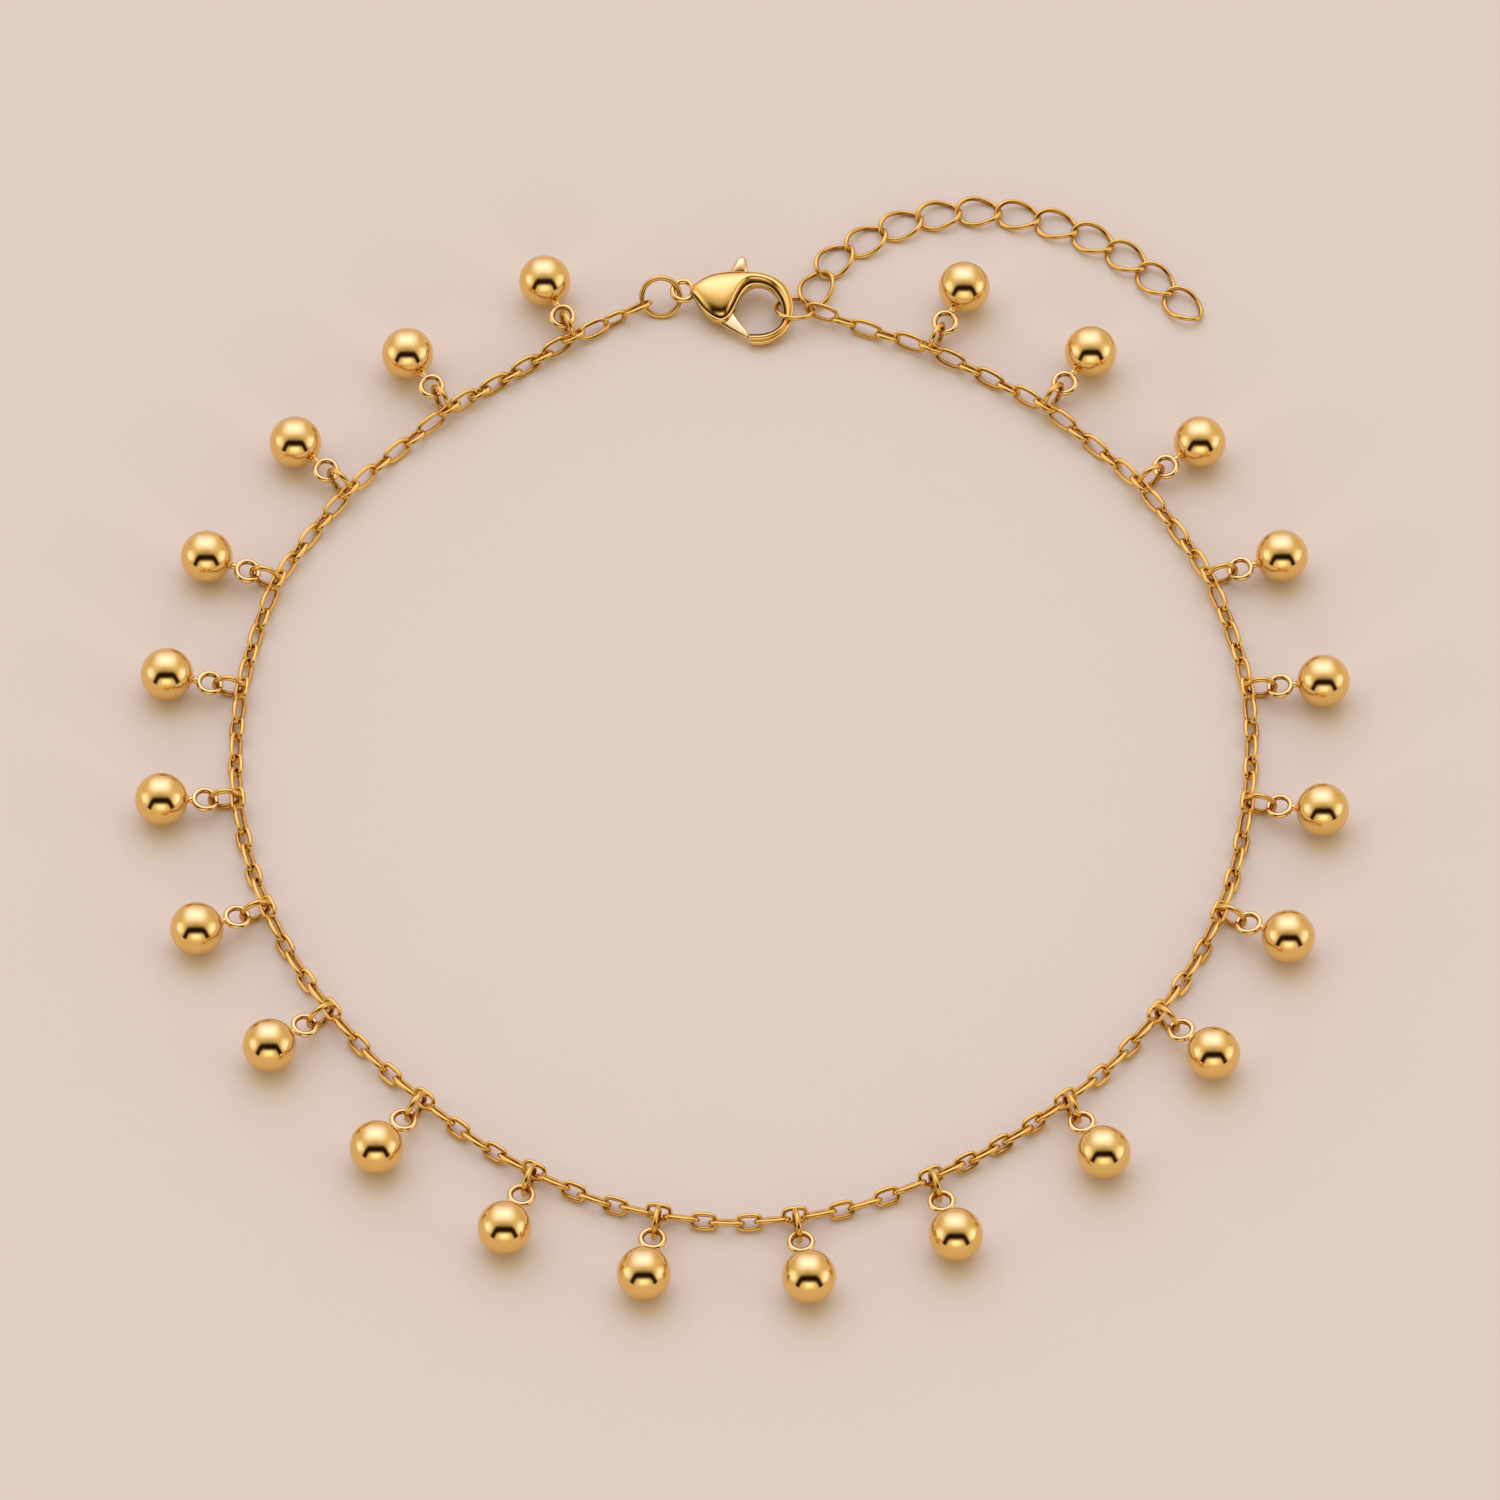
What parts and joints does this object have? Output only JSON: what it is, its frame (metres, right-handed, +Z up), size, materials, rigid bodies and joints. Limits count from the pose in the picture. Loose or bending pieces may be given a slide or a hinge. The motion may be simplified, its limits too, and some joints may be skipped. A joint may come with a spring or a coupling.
{
  "type": "beaded choker",
  "caption": "Choker of fine cable chain hung with polished ball drops on jump rings, with a lobster clasp, an end ring and a curb extension chain, lying closed as a loop",
  "frame": {"origin": "under the middle of the laid-out choker, on the surface it lies on", "axes": "+X to the right and +Y to the clasp as it lies, +Z up"},
  "size_m": [0.1372, 0.1486, 0.0059],
  "materials": {
    "ball_gold": "polished, gold plated",
    "ring_gold": "polished, gold plated",
    "chain_gold": "polished, gold plated",
    "clasp_gold": "polished, gold plated"
  },
  "bodies": {
    "choker": {"chain": "chain_gold", "drop_01": "ball_gold", "drop_02": "ball_gold", "drop_03": "ball_gold", "drop_04": "ball_gold", "drop_05": "ball_gold", "drop_06": "ball_gold", "drop_07": "ball_gold", "drop_08": "ball_gold", "drop_09": "ball_gold", "drop_10": "ball_gold", "drop_11": "ball_gold", "drop_12": "ball_gold", "drop_13": "ball_gold", "drop_14": "ball_gold", "drop_15": "ball_gold", "drop_16": "ball_gold", "drop_17": "ball_gold", "drop_18": "ball_gold", "drop_19": "ball_gold", "drop_20": "ball_gold", "drop_21": "ball_gold", "drop_22": "ball_gold", "jump_ring_01": "ring_gold", "jump_ring_02": "ring_gold", "jump_ring_03": "ring_gold", "jump_ring_04": "ring_gold", "jump_ring_05": "ring_gold", "jump_ring_06": "ring_gold", "jump_ring_07": "ring_gold", "jump_ring_08": "ring_gold", "jump_ring_09": "ring_gold", "jump_ring_10": "ring_gold", "jump_ring_11": "ring_gold", "jump_ring_12": "ring_gold", "jump_ring_13": "ring_gold", "jump_ring_14": "ring_gold", "jump_ring_15": "ring_gold", "jump_ring_16": "ring_gold", "jump_ring_17": "ring_gold", "jump_ring_18": "ring_gold", "jump_ring_19": "ring_gold", "jump_ring_20": "ring_gold", "jump_ring_21": "ring_gold", "jump_ring_22": "ring_gold", "clasp_ring": "ring_gold", "end_ring": "ring_gold", "extension_chain": "chain_gold", "clasp_body": "clasp_gold"},
    "lever": {"clasp_lever": "clasp_gold"}
  },
  "joints": [
    {"name": "clasp_lever_hinge", "type": "hinge", "parent": "choker", "child": "lever", "pos_m": [-0.00288, 0.05735, 0.00156], "axis": [0, -0.2079, 0.9781], "range_deg": [0, 25], "stiffness_Nm_per_rad": 0.01, "springref_deg": -5.73}
  ]
}
